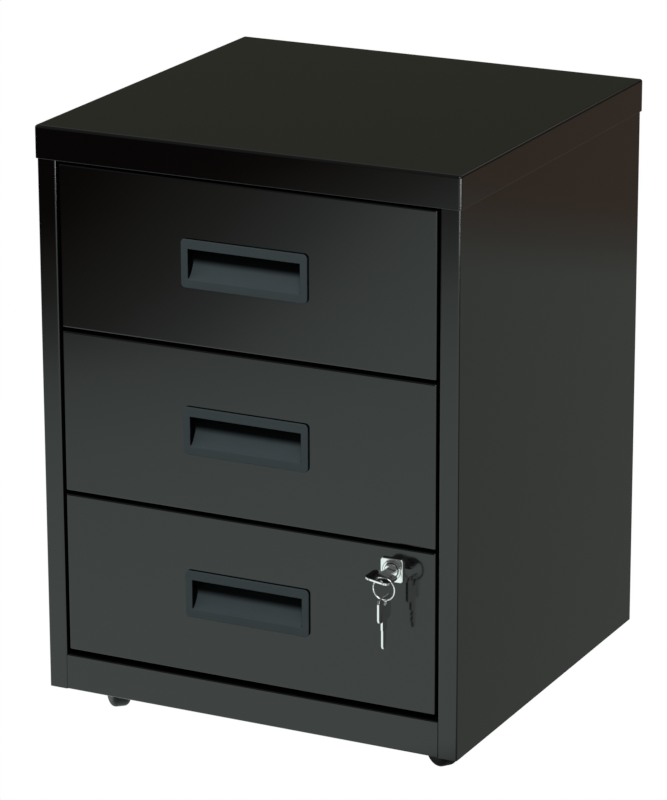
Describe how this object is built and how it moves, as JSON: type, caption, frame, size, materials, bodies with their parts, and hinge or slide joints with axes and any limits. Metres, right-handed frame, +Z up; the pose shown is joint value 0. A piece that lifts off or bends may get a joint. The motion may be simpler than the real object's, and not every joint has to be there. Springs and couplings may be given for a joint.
{
  "type": "rolling pedestal cabinet",
  "caption": "Mobile steel pedestal with three lockable drawers on roller runners, recessed pulls, a pan lid and four hidden swivel casters.",
  "frame": {"origin": "on the floor under the middle of the whole cabinet's box, the hanging key included", "axes": "+Z up, drawer fronts face -Y, +X to the right as seen from the front"},
  "size_m": [0.403, 0.4244, 0.535],
  "materials": {
    "black_paint": "gloss black enamel",
    "pull_plastic": "moulded dark blue-grey, satin",
    "zinc_plated": "bright zinc plate",
    "bright_nickel": "polished nickel",
    "roller_nylon": "moulded white nylon",
    "caster_black": "moulded black nylon"
  },
  "bodies": {
    "carcass": {"left_side_panel": "black_paint", "left_uprights": "black_paint", "right_side_panel": "black_paint", "right_uprights": "black_paint", "back_panel": "black_paint", "base_panel": "black_paint", "front_plinth_rail": "black_paint", "top_front_rail": "black_paint", "top_lid": "black_paint", "lid_screws": "zinc_plated", "back_rivets": "zinc_plated", "lock_bar_guides": "zinc_plated", "caster_plates": "zinc_plated", "caster_screws": "zinc_plated", "bottom_left_cabinet_runner": "zinc_plated", "bottom_right_cabinet_runner": "zinc_plated", "middle_left_cabinet_runner": "zinc_plated", "middle_right_cabinet_runner": "zinc_plated", "top_left_cabinet_runner": "zinc_plated", "top_right_cabinet_runner": "zinc_plated"},
    "bottom_drawer": {"bottom_drawer_front": "black_paint", "bottom_drawer_tray": "black_paint", "bottom_drawer_back": "black_paint", "bottom_drawer_pull": "pull_plastic", "bottom_left_drawer_runner": "zinc_plated", "bottom_right_drawer_runner": "zinc_plated", "lock_housing": "bright_nickel", "lock_nut": "zinc_plated"},
    "bottom_front_rollers": {"bottom_cabinet_rollers": "roller_nylon"},
    "bottom_rear_rollers": {"bottom_drawer_rollers": "roller_nylon"},
    "middle_drawer": {"middle_drawer_front": "black_paint", "middle_drawer_tray": "black_paint", "middle_drawer_back": "black_paint", "middle_drawer_pull": "pull_plastic", "middle_left_drawer_runner": "zinc_plated", "middle_right_drawer_runner": "zinc_plated"},
    "middle_front_rollers": {"middle_cabinet_rollers": "roller_nylon"},
    "middle_rear_rollers": {"middle_drawer_rollers": "roller_nylon"},
    "top_drawer": {"top_drawer_front": "black_paint", "top_drawer_tray": "black_paint", "top_drawer_back": "black_paint", "top_drawer_pull": "pull_plastic", "top_left_drawer_runner": "zinc_plated", "top_right_drawer_runner": "zinc_plated"},
    "top_front_rollers": {"top_cabinet_rollers": "roller_nylon"},
    "top_rear_rollers": {"top_drawer_rollers": "roller_nylon"},
    "lock_cylinder": {"lock_plug": "bright_nickel", "lock_cam": "zinc_plated"},
    "key_in_lock": {"key": "bright_nickel"},
    "ring": {"key_ring": "bright_nickel"},
    "hanging_key": {"spare_key": "bright_nickel"},
    "locking_bar": {"lock_bar": "zinc_plated"},
    "front_left_fork": {"front_left_caster_fork": "zinc_plated"},
    "front_left_wheel": {"front_left_caster_wheel": "caster_black"},
    "front_right_fork": {"front_right_caster_fork": "zinc_plated"},
    "front_right_wheel": {"front_right_caster_wheel": "caster_black"},
    "rear_left_fork": {"rear_left_caster_fork": "zinc_plated"},
    "rear_left_wheel": {"rear_left_caster_wheel": "caster_black"},
    "rear_right_fork": {"rear_right_caster_fork": "zinc_plated"},
    "rear_right_wheel": {"rear_right_caster_wheel": "caster_black"}
  },
  "joints": [
    {"name": "bottom_drawer_slide", "type": "slide", "parent": "carcass", "child": "bottom_drawer", "axis": [0, -1, 0], "range_m": [0, 0.27]},
    {"name": "bottom_cabinet_roller_turn", "type": "hinge", "parent": "carcass", "child": "bottom_front_rollers", "pos_m": [0, -0.13325, 0.0807], "axis": [1, 0, 0], "range_deg": [-5, 1600]},
    {"name": "bottom_drawer_roller_turn", "type": "hinge", "parent": "bottom_drawer", "child": "bottom_rear_rollers", "pos_m": [0, 0.17875, 0.0784], "axis": [1, 0, 0], "range_deg": [-5, 1800]},
    {"name": "middle_drawer_slide", "type": "slide", "parent": "carcass", "child": "middle_drawer", "axis": [0, -1, 0], "range_m": [0, 0.27]},
    {"name": "middle_cabinet_roller_turn", "type": "hinge", "parent": "carcass", "child": "middle_front_rollers", "pos_m": [0, -0.13325, 0.22993], "axis": [1, 0, 0], "range_deg": [-5, 1600]},
    {"name": "middle_drawer_roller_turn", "type": "hinge", "parent": "middle_drawer", "child": "middle_rear_rollers", "pos_m": [0, 0.17875, 0.22763], "axis": [1, 0, 0], "range_deg": [-5, 1800]},
    {"name": "top_drawer_slide", "type": "slide", "parent": "carcass", "child": "top_drawer", "axis": [0, -1, 0], "range_m": [0, 0.27]},
    {"name": "top_cabinet_roller_turn", "type": "hinge", "parent": "carcass", "child": "top_front_rollers", "pos_m": [0, -0.13325, 0.37917], "axis": [1, 0, 0], "range_deg": [-5, 1600]},
    {"name": "top_drawer_roller_turn", "type": "hinge", "parent": "top_drawer", "child": "top_rear_rollers", "pos_m": [0, 0.17875, 0.37687], "axis": [1, 0, 0], "range_deg": [-5, 1800]},
    {"name": "key_turn", "type": "hinge", "parent": "bottom_drawer", "child": "lock_cylinder", "pos_m": [0.1391, -0.17325, 0.18408], "axis": [0, -1, 0], "range_deg": [0, 90]},
    {"name": "lock_bar_lift", "type": "slide", "parent": "carcass", "child": "locking_bar", "axis": [0, 0, 1], "range_m": [0, 0.012]},
    {"name": "key_pull", "type": "slide", "parent": "lock_cylinder", "child": "key_in_lock", "axis": [0, -1, 0], "range_m": [0, 0.026]},
    {"name": "key_ring_swing", "type": "hinge", "parent": "key_in_lock", "child": "ring", "pos_m": [0.1391, -0.20075, 0.18408], "axis": [0.9877, 0, -0.1564], "range_deg": [-25, 8]},
    {"name": "spare_key_swing", "type": "hinge", "parent": "ring", "child": "hanging_key", "pos_m": [0.14444, -0.20075, 0.16666], "axis": [1, 0, 0], "range_deg": [-35, 8]},
    {"name": "front_left_swivel", "type": "hinge", "parent": "carcass", "child": "front_left_fork", "pos_m": [-0.158, -0.13125, 0], "axis": [0, 0, 1], "continuous": true},
    {"name": "front_left_roll", "type": "hinge", "parent": "front_left_fork", "child": "front_left_wheel", "pos_m": [-0.14729, -0.14314, 0.02], "axis": [0.7431, 0.6691, 0], "continuous": true},
    {"name": "front_right_swivel", "type": "hinge", "parent": "carcass", "child": "front_right_fork", "pos_m": [0.158, -0.13125, 0], "axis": [0, 0, 1], "continuous": true},
    {"name": "front_right_roll", "type": "hinge", "parent": "front_right_fork", "child": "front_right_wheel", "pos_m": [0.17094, -0.14066, 0.02], "axis": [0.5878, 0.809, 0], "continuous": true},
    {"name": "rear_left_swivel", "type": "hinge", "parent": "carcass", "child": "rear_left_fork", "pos_m": [-0.158, 0.16875, 0], "axis": [0, 0, 1], "continuous": true},
    {"name": "rear_left_roll", "type": "hinge", "parent": "rear_left_fork", "child": "rear_left_wheel", "pos_m": [-0.14611, 0.15804, 0.02], "axis": [0.6691, 0.7431, 0], "continuous": true},
    {"name": "rear_right_swivel", "type": "hinge", "parent": "carcass", "child": "rear_right_fork", "pos_m": [0.158, 0.16875, 0], "axis": [0, 0, 1], "continuous": true},
    {"name": "rear_right_roll", "type": "hinge", "parent": "rear_right_fork", "child": "rear_right_wheel", "pos_m": [0.16718, 0.15564, 0.02], "axis": [0.8192, 0.5736, 0], "continuous": true}
  ],
  "couplings": [
    {"joint": "bottom_cabinet_roller_turn", "follows": "bottom_drawer_slide", "rad_per_m": 100},
    {"joint": "bottom_drawer_roller_turn", "follows": "bottom_drawer_slide", "rad_per_m": 114.94},
    {"joint": "middle_cabinet_roller_turn", "follows": "middle_drawer_slide", "rad_per_m": 100},
    {"joint": "middle_drawer_roller_turn", "follows": "middle_drawer_slide", "rad_per_m": 114.94},
    {"joint": "top_cabinet_roller_turn", "follows": "top_drawer_slide", "rad_per_m": 100},
    {"joint": "top_drawer_roller_turn", "follows": "top_drawer_slide", "rad_per_m": 114.94},
    {"joint": "lock_bar_lift", "follows": "key_turn", "m_per_rad": 0.0076394}
  ]
}
